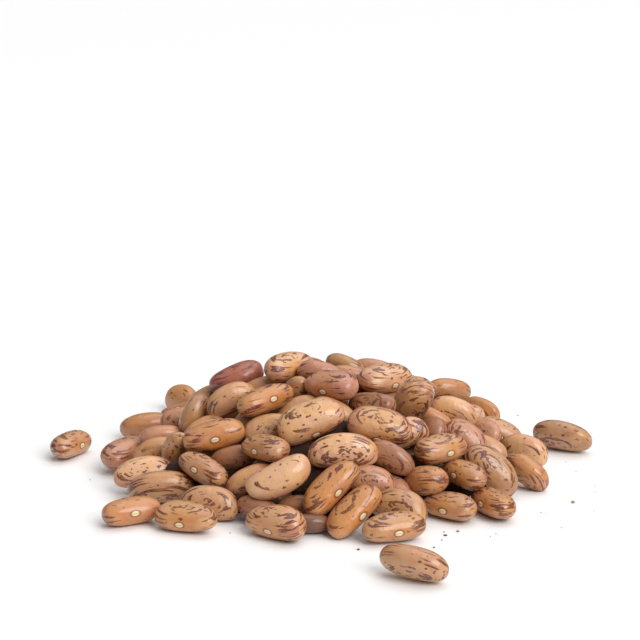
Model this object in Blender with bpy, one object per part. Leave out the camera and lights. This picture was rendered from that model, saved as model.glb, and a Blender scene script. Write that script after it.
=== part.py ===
"""A heap of dried speckled beans on a flat surface, with three beans that lie apart from it.

The heap is one body: a lumpy core with a flat underside, and on it the outer layer of beans at
their true size, each sunk in the core to about its middle. Metres, +Z up. The origin is on the
underside, in the middle of the heap; -Y is the side that is seen.
"""
import bmesh
import bpy
import numpy as np

MM = 0.001
GOLDEN_TURN = np.pi * (3 - np.sqrt(5))

# Heap: the dome that the centres of the outer beans lie on
HEAP_HALF_WIDTH = 50.0 * MM
HEAP_HALF_DEPTH = 48.0 * MM
HEAP_TOP = 24.5 * MM
HEAP_EDGE = 3.4 * MM
HEAP_SWELL = 1.35
HEAP_LIMIT = 1.2

# Bean: its proportions to its length, how much they differ, and its kidney bend
BEAN_LENGTH = 14.2 * MM
BEAN_LENGTH_SPREAD = 1.0 * MM
BEAN_WIDTH = 0.6
BEAN_THICKNESS = 0.46
BEAN_SPREAD = 0.02
BEAN_BEND = 0.06
BEAN_BEND_SPREAD = 0.015
BEAN_BEND_MIDDLE = 0.3
BEAN_SKEW_SPREAD = 0.05
BEAN_BLUNTNESS = 2.5
HILUM_SIDE = 0.93

# View that the seen beans are read from: eye over the floor, looking down along +Y
EYE = np.array([-1.2, -463.4, 150.0]) * MM
PITCH = np.radians(13.8)
FOCAL_PIXELS = 2000.0
MIDDLE_PIXEL = 320.0
RIGHT = np.array([1.0, 0.0, 0.0])
FORWARD = np.array([0.0, np.cos(PITCH), -np.sin(PITCH)])
UP = np.array([0.0, np.sin(PITCH), np.cos(PITCH)])
NEAREST = 0.36
FURTHEST = 0.62
SIGHT_STEP = 0.2 * MM

# Beans that the picture hides, which are laid by a rule
HIDDEN_TRIES = 420
HIDDEN_REACH = 0.97
HIDDEN_WANDER = 1.2 * MM
HIDDEN_LEAN = 0.2
HIDDEN_ROLL = 0.45
HIDDEN_SHORTEST = 11.5 * MM
HIDDEN_LONGEST = 16.0 * MM
HIDDEN_SPACING = 7.1 * MM
HIDDEN_SUNK = 3.5 * MM
HIDDEN_FACING = 0.5
HIDDEN_BACK = 0.25
HIDDEN_COVER = 5.0 * MM
HIDDEN_ENDS = 0.6
HIDDEN_SHOWS = 1.0 * MM
HIDDEN_ON_FLOOR = 0.88
HIDDEN_RISE = 0.5 * MM
HIDDEN_ON_EDGE = 0.35
STRAY_CLEAR = 22.0 * MM
SEED = 11

# Easing the beans apart
EASE_ROUNDS = 150
EASE_SHARE = 0.25
EASE_SIDEWAYS = 0.25
EASE_POINTS = 64
EASE_LEAST_LEVEL = 0.2
DEEP_ROW = -1.5
CROWDED = 1.4 * MM

# Facets
HEAP_BEAN_AROUND = 7
HEAP_BEAN_RINGS = 5
STRAY_BEAN_AROUND = 12
STRAY_BEAN_RINGS = 10
FACET_OUTSET = 1.05
FLOOR_GAP = 0.15 * MM
SHARP_ANGLE = np.radians(50)

# Core: how far it lies below the beans' centres and inside their outline
CORE_AROUND = 48
CORE_RINGS = 24
CORE_BELOW = 1.8 * MM
CORE_INSIDE = 0.3 * MM
CORE_BLUR = 5.0 * MM
CORE_FOOT = 1.0 * MM
CORE_FOOT_REACH = 6.0 * MM
CORE_WEDGE = 0.45
CORE_RIM = 0.25

SKIN_COLOUR = (0.46, 0.25, 0.15, 1.0)
SKIN_ROUGHNESS = 0.42

# One row for each bean of the heap that is seen. In turn: its centre in the picture (pixels of a
# 640 x 640 frame), the slope of its long axis there, how far its right end turns to the eye, its
# roll (0 lies on its broad side with the hilum below, 90 shows the hilum), degrees; its length,
# millimetres, how plump it is, and how far it lies in front of the dome, millimetres.
SEEN_BEANS = [
    (236.5, 378, 20, 0, -100, 14, 1.1, 2),
    (288, 367, 14, -48, 60, 15, 0.97, 5),
    (316.5, 371.5, -12, 0, -60, 11.2, 1, -5),
    (344.5, 365.5, -18, 30, -75, 10.6, 1.08, -6),
    (373, 370.5, -5, 0, -60, 11.5, 1, -12),
    (350, 378, -15, 0, -40, 11, 0.95, -8),
    (332, 385.5, -6, 38, 62, 14.2, 1.02, 3),
    (385, 378.5, 10, -40, 58, 14.8, 1.05, 5),
    (231, 400, 25, 0, -30, 12.6, 1, 2.5),
    (265, 400, 20, -32, 82, 14.8, 0.96, 4),
    (299, 393.5, 80, 50, 0, 11.5, 0.95, -5),
    (310.5, 421, 22, 0, 34, 15.9, 1.07, 5),
    (300, 409, 25, 0, -20, 12, 0.95, -5),
    (334, 414, -30, 0, 0, 12, 1, -2),
    (381, 426, -11, 0, 36, 15, 1.04, 2.5),
    (372, 406, -4, 35, 200, 12.5, 1, 0),
    (413, 402.5, 62, 45, -30, 13.8, 1.15, 2),
    (415, 390, 0, 0, -60, 11, 1, -6),
    (389, 399, 10, 0, 0, 12, 1, -8),
    (449, 390.5, -5, -30, -60, 12.3, 1, -6),
    (454, 412, -18, 0, -40, 11.8, 1.05, 0),
    (432, 418.5, -25, 0, -40, 10.5, 0.9, -6),
    (481.5, 411, -12, 35, -30, 11.2, 1, -4),
    (433, 430.5, -10, 68, 0, 10.8, 1, 0),
    (401.5, 435.5, 22, 0, 0, 12.3, 1, 0),
    (466, 438, -38, 0, 20, 11.2, 1.04, 2),
    (482, 430, -25, 45, 0, 11, 0.98, -2),
    (499, 431, -20, -15, 62, 11.8, 1, -3),
    (440, 449.3, 14, -38, 66, 13.2, 1.1, 4),
    (491.5, 470, -42, 0, 10, 15, 0.95, 1),
    (485, 449, -20, 0, 0, 11, 0.95, -4),
    (524.5, 450, -15, 18, -30, 12, 1.03, 0),
    (526.5, 471.5, -32, 18, -60, 12, 1.1, 0),
    (465, 474.5, -24, 50, 66, 13, 0.98, 2),
    (424, 480, 5, 60, -85, 12.7, 1.1, 1),
    (391.5, 461, -22, 15, -40, 12, 1, 2),
    (344, 452.5, 2, 0, -15, 15.8, 0.83, 4),
    (265, 450.5, -13, 55, 66, 14.5, 0.9, 3),
    (267, 430, 10, 0, 0, 12, 1, -2),
    (245, 428, 60, 0, -40, 11, 1, -7),
    (213, 436, 13, 0, 75, 14.6, 1.04, 3),
    (235, 456, 12, 20, -50, 11.2, 1, -1),
    (204, 470, -32, 42, 68, 14.4, 0.93, 2),
    (192, 415.5, 63, 0, -80, 10.8, 1.12, 1),
    (207, 400, 30, 0, 0, 11, 1, -5),
    (182, 399.5, -10, 50, 0, 11.5, 1.1, -6),
    (147, 426, 4, 0, -80, 13.8, 1.04, 0),
    (181, 419, 10, 0, 0, 10.5, 0.95, -8),
    (162.5, 434.5, 5, 0, -80, 10.4, 1, -1),
    (206, 424, 25, 0, 0, 11.5, 0.95, -5),
    (125, 452, 25, -48, 54, 15, 0.93, 0),
    (176, 449.5, 70, 50, 0, 11.6, 0.9, 1),
    (145, 473.5, 3, 0, 20, 14.6, 0.88, 0),
    (161, 487.5, 2, 0, -60, 15.2, 0.95, 0),
    (131, 511, 7, -15, 78, 13.4, 1, 0),
    (187, 517, -8, 28, 58, 14.6, 0.96, 0),
    (212, 504, -8, 14, 0, 13.4, 0.95, 0),
    (252, 480.5, 22, 0, -50, 12.3, 1, -1),
    (278, 480.5, 25, 0, 195, 15.3, 0.87, 5),
    (276, 522, -11, 34, 50, 14.6, 0.98, 0),
    (258, 507, -18, 28, -70, 11.2, 1, 0),
    (300, 506, 0, 0, -80, 10.5, 1, -4),
    (330.5, 488, 46, -8, 56, 15.3, 0.95, 4),
    (316, 518, 0, 0, -80, 9.5, 1, -2),
    (353.5, 511, 46, -12, 52, 14.7, 0.94, 1),
    (393.5, 527, 9, -18, 64, 14.2, 1, 0),
    (399.5, 507.5, -13, 20, 0, 13.2, 1, 0),
    (373, 481, -12, 0, 0, 10.8, 1.05, -2),
    (395, 486, -30, 40, 0, 11.5, 0.95, -2),
    (450, 504, -10, 30, 64, 12.9, 1, 0),
    (494, 503.5, -25, 56, 65, 13.8, 0.95, 0),
    (313, 476, 30, 0, 0, 12, 1, -5),
    (300, 456, 0, 0, 0, 12, 1, -5),
    (335, 436, 0, 0, 0, 12, 1, -4),
    (187, 476, -20, 0, 0, 11, 1, -5),
    (157, 451, 10, 0, -30, 11.5, 0.95, -1.4),
    (265, 384, 15, 0, -60, 12, 1, -4),
]

# The beans that lie apart, in the same terms
STRAY_BEANS = {
    "stray_bean_left": (70.5, 444.5, 19, -57, 68, 13.8, 0.94, 0),
    "stray_bean_right": (562, 436, -8, 20, -60, 15.3, 0.93, 0),
    "stray_bean_front": (413.5, 562.5, -13, 24, -70, 15.3, 0.95, 0),
}


def dome(x, y):
    """Height of the beans' centres: a cone with a swollen flank, from HEAP_TOP down to HEAP_EDGE."""
    reach = np.hypot(x / HEAP_HALF_WIDTH, y / HEAP_HALF_DEPTH)
    return HEAP_EDGE + (HEAP_TOP - HEAP_EDGE) * (1 - reach**HEAP_SWELL)


def dome_normal(x, y):
    """Unit vector out of the dome, from its height a small step to each side."""
    step = 1.0 * MM
    slope_x = (dome(x + step, y) - dome(x - step, y)) / (2 * step)
    slope_y = (dome(x, y + step) - dome(x, y - step)) / (2 * step)
    normal = np.array([-slope_x, -slope_y, 1.0])
    return normal / np.linalg.norm(normal)


def line_of_sight(px, py):
    """Unit vector from the eye through a pixel of the picture."""
    ray = FORWARD + (px - MIDDLE_PIXEL) / FOCAL_PIXELS * RIGHT - (py - MIDDLE_PIXEL) / FOCAL_PIXELS * UP
    return ray / np.linalg.norm(ray)


def turned(long_way, outward, roll):
    """The bean's axes as rows: along it, to its hilum side, and out of its broad face.

    The face looks outward as far as the long axis lets it, then the bean rolls about that axis.
    """
    face = outward - (outward @ long_way) * long_way
    face /= np.linalg.norm(face)
    hilum = np.cross(long_way, face)
    return np.array([
        long_way,
        np.cos(roll) * hilum + np.sin(roll) * face,
        np.cos(roll) * face - np.sin(roll) * hilum,
    ])


def seen_axes(px, py, tilt, toward, roll):
    """Axes of a bean that is read from the picture, from its slope, turn and roll there."""
    ray = line_of_sight(px, py)
    across = np.cross(ray, [0, 0, 1.0])
    across /= np.linalg.norm(across)
    upward = np.cross(across, ray)
    tilt, toward, roll = np.radians([tilt, toward, roll])
    long_way = np.cos(toward) * (np.cos(tilt) * across + np.sin(tilt) * upward) - np.sin(toward) * ray
    return turned(long_way, -ray, roll)


def half_height(axes, halves):
    """Half the upright extent of an ellipsoid: the root of its squared half axes times their rise."""
    return np.sqrt(((axes[..., 2] * halves) ** 2).sum(-1))


def seen_place(px, py, near, low, on_heap):
    """Where the line of sight meets the dome or the floor, or passes nearest over the dome."""
    ray = line_of_sight(px, py)
    way = np.arange(NEAREST, FURTHEST, SIGHT_STEP)
    path = EYE + way[:, None] * ray
    layer = dome(path[:, 0], path[:, 1])
    if on_heap:
        reach = np.hypot(path[:, 0] / HEAP_HALF_WIDTH, path[:, 1] / HEAP_HALF_DEPTH)
        met = (path[:, 2] < np.maximum(layer, low)) & (reach < HEAP_LIMIT)
    else:
        met = path[:, 2] < low
    hit = np.argmax(met) if met.any() else np.argmin(path[:, 2] - layer)
    return EYE + (way[hit] - near) * ray


def lay_seen(rows, on_heap):
    """Centres, axes, half sizes and lines of sight of the beans in a table."""
    centres, axes, halves, rays = [], [], [], []
    for px, py, tilt, toward, roll, length, plump, near in rows:
        own_axes = seen_axes(px, py, tilt, toward, roll)
        own_halves = length * MM / 2 * np.array([1, plump * BEAN_WIDTH, plump * BEAN_THICKNESS])
        low = half_height(own_axes, own_halves)
        centres.append(seen_place(px, py, near * MM, low, on_heap))
        axes.append(own_axes)
        halves.append(own_halves)
        rays.append(line_of_sight(px, py))
    return np.array(centres), np.array(axes), np.array(halves), np.array(rays)


def is_covered(centre, own_axes, own_halves, seen):
    """Whether seen beans lie before both ends of a bean, at or over their lines of sight."""
    covers = []
    for step in (-HIDDEN_ENDS, HIDDEN_ENDS):
        end = centre + step * own_halves[0] * own_axes[0] - EYE
        far = np.linalg.norm(end)
        ray = end / far
        along = (seen - EYE) @ ray
        off = seen - EYE - along[:, None] * ray
        over = (abs(off @ RIGHT) < HIDDEN_COVER) & (off @ UP > -HIDDEN_SHOWS)
        covers.append((over & (along < far)).any())
    return all(covers)


def lay_hidden(taken, kept_clear, rng):
    """Beans of the far side and between the seen ones, each kept if it has room and is covered.

    They follow a spiral of golden-angle steps over the dome, and lie deeper where the eye looks on.
    The outermost lie on the floor.
    """
    centres, axes, halves = [], [], []
    for k in range(HIDDEN_TRIES):
        reach = HIDDEN_REACH * np.sqrt((k + 0.5) / HIDDEN_TRIES)
        turn = k * GOLDEN_TURN
        wander = rng.normal(0, HIDDEN_WANDER, 2)
        heading = rng.uniform(0, 2 * np.pi)
        lean = rng.normal(0, HIDDEN_LEAN)
        roll = rng.normal(0, HIDDEN_ROLL)
        on_edge = rng.random() < HIDDEN_ON_EDGE
        length = np.clip(rng.normal(BEAN_LENGTH, BEAN_LENGTH_SPREAD), HIDDEN_SHORTEST, HIDDEN_LONGEST)
        x = HEAP_HALF_WIDTH * reach * np.cos(turn) + wander[0]
        y = HEAP_HALF_DEPTH * reach * np.sin(turn) + wander[1]
        outward = dome_normal(x, y)
        side = np.cross(outward, [np.cos(heading), np.sin(heading), 0.0])
        side /= np.linalg.norm(side)
        long_way = np.cos(lean) * side + np.sin(lean) * outward
        own_axes = turned(long_way, outward, roll + (np.pi / 2 if on_edge else 0))
        own_halves = length / 2 * np.array([1, BEAN_WIDTH, BEAN_THICKNESS])
        facing = np.clip((HIDDEN_BACK - outward @ FORWARD) / HIDDEN_FACING, 0, 1)
        height = dome(x, y) - HIDDEN_SUNK * facing
        low = half_height(own_axes, own_halves)
        centre = np.array([x, y, low if reach > HIDDEN_ON_FLOOR else max(height, low)])
        others = np.concatenate([taken, np.array(centres).reshape(-1, 3)])
        room = np.linalg.norm(others - centre, axis=1).min() > HIDDEN_SPACING
        clear = np.linalg.norm(kept_clear - centre, axis=1).min() > STRAY_CLEAR
        if room and clear and is_covered(centre, own_axes, own_halves, taken):
            centres.append(centre)
            axes.append(own_axes)
            halves.append(own_halves)
    return np.array(centres), np.array(axes), np.array(halves)


def rank_of(rows):
    """2 for a bean that lies in front, 1 for one that shows behind others, from its last value."""
    return np.array([2.0 if row[-1] > DEEP_ROW else 1.0 for row in rows])


def ball_points(count):
    """Points spread evenly over a unit ball by golden-angle steps."""
    k = np.arange(count) + 0.5
    height = 1 - 2 * k / count
    turn = k * GOLDEN_TURN
    round_it = np.sqrt(1 - height**2)
    return np.stack([round_it * np.cos(turn), round_it * np.sin(turn), height], -1)


def dips(centres, axes, halves, points):
    """Pairs i, j of beans where the skin of i dips into j, how deep, and the way out of j.

    The skin points of i are put in the frame of j and divided by its half sizes; where their
    length is under 1 they are inside, and the way out is the slope of that length.
    """
    apart = np.linalg.norm(centres[:, None] - centres, axis=2)
    close = apart < halves[:, 0, None] + halves[None, :, 0]
    np.fill_diagonal(close, False)
    i, j = np.nonzero(close)
    skin = np.einsum("pk,nk,nkc->npc", points, halves[i], axes[i]) + (centres[i] - centres[j])[:, None]
    inside = np.einsum("npc,nkc->npk", skin, axes[j]) / halves[j][:, None]
    level = np.linalg.norm(inside, axis=2)
    rows = np.arange(len(i))
    worst = level.argmin(axis=1)
    level, inside = level[rows, worst], inside[rows, worst]
    way = np.einsum("nk,nkc->nc", inside / halves[j], axes[j])
    way /= np.linalg.norm(way, axis=1, keepdims=True)
    reach = np.abs(((inside * halves[j]) * np.einsum("nc,nkc->nk", way, axes[j])).sum(1))
    hit = level < 1
    depth = (1 - level) / np.maximum(level, EASE_LEAST_LEVEL) * reach
    return i[hit], j[hit], depth[hit], way[hit]


def ease_apart(centres, axes, halves, rays, rank):
    """Push overlapping beans apart a little at a time.

    A bean with a line of sight moves mostly along it, so that it stays where the picture has it,
    and no bean gives way to one of a lower rank.
    """
    centres = centres.copy()
    points = ball_points(EASE_POINTS)
    rise = half_height(axes, halves)
    seen = np.arange(len(centres)) < len(rays)
    sight = np.zeros_like(centres)
    sight[seen] = rays
    for _ in range(EASE_ROUNDS):
        i, j, depth, way = dips(centres, axes, halves, points)
        step = EASE_SHARE * depth[:, None] * way
        push = np.zeros_like(centres)
        np.add.at(push, i, step * (rank[i] <= rank[j])[:, None])
        np.add.at(push, j, -step * (rank[j] <= rank[i])[:, None])
        along = (push * sight).sum(1, keepdims=True) * sight
        centres += np.where(seen[:, None], along + EASE_SIDEWAYS * (push - along), push)
        roof = dome(centres[:, 0], centres[:, 1]) + HIDDEN_RISE
        centres[~seen, 2] = np.minimum(centres[:, 2], roof)[~seen]
        sunk = np.clip(rise - centres[:, 2], 0, None)
        centres[seen] += (sunk[seen] / rays[:, 2])[:, None] * rays
        centres[~seen, 2] += sunk[~seen]
    return centres


def has_room(centres, axes, halves, rank):
    """Which beans stay: all but those of rank 0 that still dip more than CROWDED into another."""
    i, _, depth, _ = dips(centres, axes, halves, ball_points(EASE_POINTS))
    stays = np.full(len(centres), True)
    stays[i[(depth > CROWDED) & (rank[i] == 0)]] = False
    return stays


def bean_shapes(halves, rng):
    """Each bean's own width, thickness, bend and skew, drawn about its half sizes and the usual bend."""
    count = len(halves)
    return np.stack([
        halves[:, 1] / halves[:, 0] + rng.normal(0, BEAN_SPREAD, count),
        halves[:, 2] / halves[:, 0] + rng.normal(0, BEAN_SPREAD, count),
        rng.normal(BEAN_BEND, BEAN_BEND_SPREAD, count),
        rng.normal(0, BEAN_SKEW_SPREAD, count),
    ], -1)


def bean_skin(ball, length, shape):
    """A bean from the points of a unit ball whose poles are its ends.

    Both the run along it and the girth are powers 2 / bluntness of a circle's, so its ends are
    blunter than an ellipse's. One end is a little fatter, the hilum side is flattened, and the
    ends curve to that side by the square of the run.
    """
    width, thickness, bend, skew = shape
    power = 2 / BEAN_BLUNTNESS
    along = np.sign(ball[:, 2]) * np.abs(ball[:, 2]) ** power
    round_it = np.hypot(ball[:, 0], ball[:, 1])
    girth = round_it**power * (1 + skew * along)
    round_it = np.maximum(round_it, 1e-9)
    face, hilum = ball[:, 0] / round_it, ball[:, 1] / round_it
    hilum = np.where(hilum > 0, HILUM_SIDE, 1.0) * hilum
    return length * np.stack([
        along / 2,
        width / 2 * girth * hilum + bend * (along**2 - BEAN_BEND_MIDDLE),
        thickness / 2 * girth * face,
    ], -1)


def bean_object(name, around, rings, centre, axes, length, shape, floor):
    """A faceted bean from a primitive sphere, no lower than the floor height given."""
    mesh = bpy.data.meshes.new(name)
    form = bmesh.new()
    bmesh.ops.create_uvsphere(form, u_segments=around, v_segments=rings, radius=1)
    form.to_mesh(mesh)
    form.free()
    ball = np.empty(len(mesh.vertices) * 3)
    mesh.vertices.foreach_get("co", ball)
    skin = bean_skin(ball.reshape(-1, 3), length, shape) * [1, FACET_OUTSET, FACET_OUTSET]
    place = skin @ axes + centre
    place[:, 2] = np.maximum(place[:, 2], floor)
    mesh.vertices.foreach_set("co", place.ravel())
    mesh.update()
    return bpy.data.objects.new(name, mesh)


def core_outline(turn, centres):
    """Distance of the core's edge from the middle in each direction.

    It is the largest of the beans' distances, each faded by a bell curve of its angle away.
    """
    away = np.arctan2(centres[:, 1], centres[:, 0])[None] - turn[:, None]
    away = (away + np.pi) % (2 * np.pi) - np.pi
    reach = np.hypot(centres[:, 0], centres[:, 1])[None] * np.exp(-((away / CORE_WEDGE) ** 2))
    return reach.max(axis=1) - CORE_INSIDE


def core_height(x, y, centres):
    """Mean height of the beans' centres about each place, weighted by a bell curve, less CORE_BELOW.

    Under each bean it rises in a small mound that falls off with the square of the distance.
    """
    gap = (x[:, None] - centres[:, 0]) ** 2 + (y[:, None] - centres[:, 1]) ** 2
    weight = np.exp(-gap / (2 * CORE_BLUR**2)) + 1e-9
    mean = (weight * centres[:, 2]).sum(1) / weight.sum(1) - CORE_BELOW
    mound = (centres[:, 2] - CORE_FOOT - gap / (2 * CORE_FOOT_REACH)).max(axis=1)
    return np.maximum(mean, mound)


def core_object(centres):
    """The lumpy core: the upper half of a sphere, stretched to the outline and the height, closed flat."""
    mesh = bpy.data.meshes.new("bean_heap")
    form = bmesh.new()
    bmesh.ops.create_uvsphere(form, u_segments=CORE_AROUND, v_segments=CORE_RINGS, radius=1)
    lower = [vertex for vertex in form.verts if vertex.co.z < -1e-6]
    bmesh.ops.delete(form, geom=lower, context="VERTS")
    bmesh.ops.holes_fill(form, edges=[edge for edge in form.edges if edge.is_boundary], sides=0)
    bmesh.ops.recalc_face_normals(form, faces=form.faces[:])
    form.to_mesh(mesh)
    form.free()
    ball = np.empty(len(mesh.vertices) * 3)
    mesh.vertices.foreach_get("co", ball)
    ball = ball.reshape(-1, 3)
    reach = np.clip(np.hypot(ball[:, 0], ball[:, 1]), 0, 1)
    turn = np.arctan2(ball[:, 1], ball[:, 0])
    edge = core_outline(turn, centres)
    x, y = edge * reach * np.cos(turn), edge * reach * np.sin(turn)
    height = core_height(x, y, centres) * np.clip(ball[:, 2] / CORE_RIM, 0, 1)
    mesh.vertices.foreach_set("co", np.stack([x, y, height], -1).ravel())
    mesh.update()
    return bpy.data.objects.new("bean_heap", mesh)


def keep_largest_body(mesh):
    """Drop loose scraps and the walls of sealed hollows: all but the body with the most faces."""
    form = bmesh.new()
    form.from_mesh(mesh)
    left = set(form.faces)
    bodies = []
    while left:
        reached = [left.pop()]
        for face in reached:
            for edge in face.edges:
                for other in edge.link_faces:
                    if other in left:
                        left.remove(other)
                        reached.append(other)
        bodies.append(reached)
    bodies.sort(key=len)
    for body in bodies[:-1]:
        bmesh.ops.delete(form, geom=body, context="FACES")
    bmesh.ops.triangulate(form, faces=form.faces[:])
    form.to_mesh(mesh)
    form.free()


def fuse(core, beans, collection):
    """Join the beans to the core with one Boolean union, apply it, and remove the beans."""
    union = core.modifiers.new("beans", "BOOLEAN")
    union.operation = "UNION"
    union.operand_type = "COLLECTION"
    union.collection = collection
    union.solver = "EXACT"
    bpy.context.view_layer.update()
    depsgraph = bpy.context.evaluated_depsgraph_get()
    fused = bpy.data.meshes.new_from_object(core.evaluated_get(depsgraph))
    core.modifiers.clear()
    core.data = fused
    for bean in beans:
        bpy.data.objects.remove(bean)
    bpy.data.collections.remove(collection)
    keep_largest_body(core.data)


def skin_material(name):
    """Dry bean skin: a warm tan with a dull shine."""
    material = bpy.data.materials.new(name)
    material.use_nodes = True
    shader = material.node_tree.nodes["Principled BSDF"]
    shader.inputs["Base Color"].default_value = SKIN_COLOUR
    shader.inputs["Roughness"].default_value = SKIN_ROUGHNESS
    shader.inputs["Metallic"].default_value = 0.0
    material.diffuse_color = SKIN_COLOUR
    return material


for item in list(bpy.data.objects):
    bpy.data.objects.remove(item)

heap_collection = bpy.data.collections.new("heap of dried beans")
bean_collection = bpy.data.collections.new("beans to fuse")
bpy.context.scene.collection.children.link(heap_collection)
bpy.context.scene.collection.children.link(bean_collection)

random = np.random.default_rng(SEED)
seen_centres, seen_turns, seen_halves, seen_rays = lay_seen(SEEN_BEANS, on_heap=True)
stray_centres, stray_turns, stray_halves, _ = lay_seen(STRAY_BEANS.values(), on_heap=False)
hidden_centres, hidden_turns, hidden_halves = lay_hidden(seen_centres, stray_centres, random)
all_turns = np.concatenate([seen_turns, hidden_turns])
all_halves = np.concatenate([seen_halves, hidden_halves])
all_centres = np.concatenate([seen_centres, hidden_centres])
all_ranks = np.concatenate([rank_of(SEEN_BEANS), np.zeros(len(hidden_centres))])
all_centres = ease_apart(all_centres, all_turns, all_halves, seen_rays, all_ranks)
all_shapes = bean_shapes(all_halves, random)
seen_now = all_centres[:len(SEEN_BEANS)]
covered = np.array([
    is_covered(centre, all_turns[k], all_halves[k], seen_now) for k, centre in enumerate(all_centres)
])
stays = has_room(all_centres, all_turns, all_halves, all_ranks) & (covered | (all_ranks > 0))
all_centres, all_turns = all_centres[stays], all_turns[stays]
all_halves, all_shapes = all_halves[stays], all_shapes[stays]

beans = []
for k, centre in enumerate(all_centres):
    bean = bean_object(
        f"bean_{k}", HEAP_BEAN_AROUND, HEAP_BEAN_RINGS,
        centre, all_turns[k], 2 * all_halves[k, 0], all_shapes[k], FLOOR_GAP,
    )
    bean_collection.objects.link(bean)
    beans.append(bean)

heap = core_object(all_centres)
heap_collection.objects.link(heap)
fuse(heap, beans, bean_collection)

stray_shapes = bean_shapes(stray_halves, random)
strays = []
for k, name in enumerate(STRAY_BEANS):
    stray = bean_object(
        name, STRAY_BEAN_AROUND, STRAY_BEAN_RINGS,
        stray_centres[k], stray_turns[k], 2 * stray_halves[k, 0], stray_shapes[k], 0.0,
    )
    heap_collection.objects.link(stray)
    strays.append(stray)

for item in [heap] + strays:
    item.data.materials.clear()
    item.data.materials.append(skin_material(f"{item.name} skin"))
    item.data.shade_smooth()
    item.data.set_sharp_from_angle(angle=SHARP_ANGLE)
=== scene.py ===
"""A heap of dried speckled beans on a plain white surface, with three beans and crumbs beside it.

Metres, +Z up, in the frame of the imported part: the origin is under the middle of the heap, and -Y
is the side that is seen. The outer beans and the three apart lie where the part's source lays
them, by the same table, rule and draws. Patterns on the beans are in millimetres of each bean's
own frame.
"""

import bpy
import numpy as np
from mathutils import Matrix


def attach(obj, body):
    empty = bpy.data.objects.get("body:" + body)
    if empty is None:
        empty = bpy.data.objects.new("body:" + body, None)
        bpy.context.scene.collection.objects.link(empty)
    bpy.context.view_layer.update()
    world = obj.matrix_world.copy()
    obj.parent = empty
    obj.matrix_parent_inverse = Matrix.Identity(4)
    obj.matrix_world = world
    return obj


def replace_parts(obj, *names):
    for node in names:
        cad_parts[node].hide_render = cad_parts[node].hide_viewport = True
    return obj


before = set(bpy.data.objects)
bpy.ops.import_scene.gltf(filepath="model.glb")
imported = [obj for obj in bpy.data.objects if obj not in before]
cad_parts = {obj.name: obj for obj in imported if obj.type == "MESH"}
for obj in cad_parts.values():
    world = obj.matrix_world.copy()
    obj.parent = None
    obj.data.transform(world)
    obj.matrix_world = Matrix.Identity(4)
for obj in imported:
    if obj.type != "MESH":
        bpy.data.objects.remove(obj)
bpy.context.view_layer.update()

# The camera stands about half a metre from the heap and looks down on it at a shallow angle.
# The picture that the seen beans are read from is 640 pixels square.
MM = 0.001
EYE = np.array([-1.2, -463.4, 150.0]) * MM
PITCH = np.radians(13.8)
FOCAL_PIXELS = 2000.0
MIDDLE_PIXEL = 320.0
SENSOR = 36.0
CLIP_END = 20.0
RIGHT = np.array([1.0, 0.0, 0.0])
FORWARD = np.array([0.0, np.cos(PITCH), -np.sin(PITCH)])
UP = np.array([0.0, np.sin(PITCH), np.cos(PITCH)])

camera_data = bpy.data.cameras.new("camera")
camera_data.sensor_width = SENSOR
camera_data.lens = FOCAL_PIXELS * SENSOR / (2 * MIDDLE_PIXEL)
camera_data.clip_end = CLIP_END
camera = bpy.data.objects.new("camera", camera_data)
camera.location = EYE
camera.rotation_euler = (np.pi / 2 - PITCH, 0, 0)
bpy.context.scene.collection.objects.link(camera)
bpy.context.scene.camera = camera


# The beans of the heap: dried kidney-shaped seeds, 10 to 16 mm long, tan with dark purple marks.
# Their centres lie on a low dome, and they are eased apart until they only touch. The ones that
# are seen come from the table, in the order of the part's source; the others are laid by a rule.
HEAP_HALF_WIDTH = 50.0 * MM
HEAP_HALF_DEPTH = 48.0 * MM
HEAP_TOP = 24.5 * MM
HEAP_EDGE = 3.4 * MM
HEAP_SWELL = 1.35
HEAP_LIMIT = 1.2
BEAN_LENGTH = 14.2 * MM
BEAN_LENGTH_SPREAD = 1.0 * MM
BEAN_WIDTH = 0.6
BEAN_THICKNESS = 0.46
BEAN_SPREAD = 0.02
BEAN_BEND = 0.06
BEAN_BEND_SPREAD = 0.015
BEAN_BEND_MIDDLE = 0.3
BEAN_SKEW_SPREAD = 0.05
BEAN_BLUNTNESS = 2.5
HILUM_SIDE = 0.93
BEAN_LUMP = 0.012
POLE_WIDTH = 1e-9
BEAN_AROUND = 28
BEAN_RINGS = 24
NEAREST = 0.36
FURTHEST = 0.62
SIGHT_STEP = 0.2 * MM
HIDDEN_TRIES = 420
HIDDEN_REACH = 0.97
HIDDEN_WANDER = 1.2 * MM
HIDDEN_LEAN = 0.2
HIDDEN_ROLL = 0.45
HIDDEN_SHORTEST = 11.5 * MM
HIDDEN_LONGEST = 16.0 * MM
HIDDEN_SPACING = 7.1 * MM
HIDDEN_SUNK = 3.5 * MM
HIDDEN_FACING = 0.5
HIDDEN_BACK = 0.25
HIDDEN_COVER = 5.0 * MM
HIDDEN_ENDS = 0.6
HIDDEN_SHOWS = 1.0 * MM
HIDDEN_ON_FLOOR = 0.88
HIDDEN_RISE = 0.5 * MM
HIDDEN_ON_EDGE = 0.35
STRAY_CLEAR = 22.0 * MM
LAY_SEED = 11
EASE_ROUNDS = 150
EASE_SHARE = 0.25
EASE_SIDEWAYS = 0.25
EASE_POINTS = 64
EASE_LEAST_LEVEL = 0.2
DEEP_ROW = -1.5
CROWDED = 1.4 * MM
GOLDEN_TURN = np.pi * (3 - np.sqrt(5))

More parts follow.
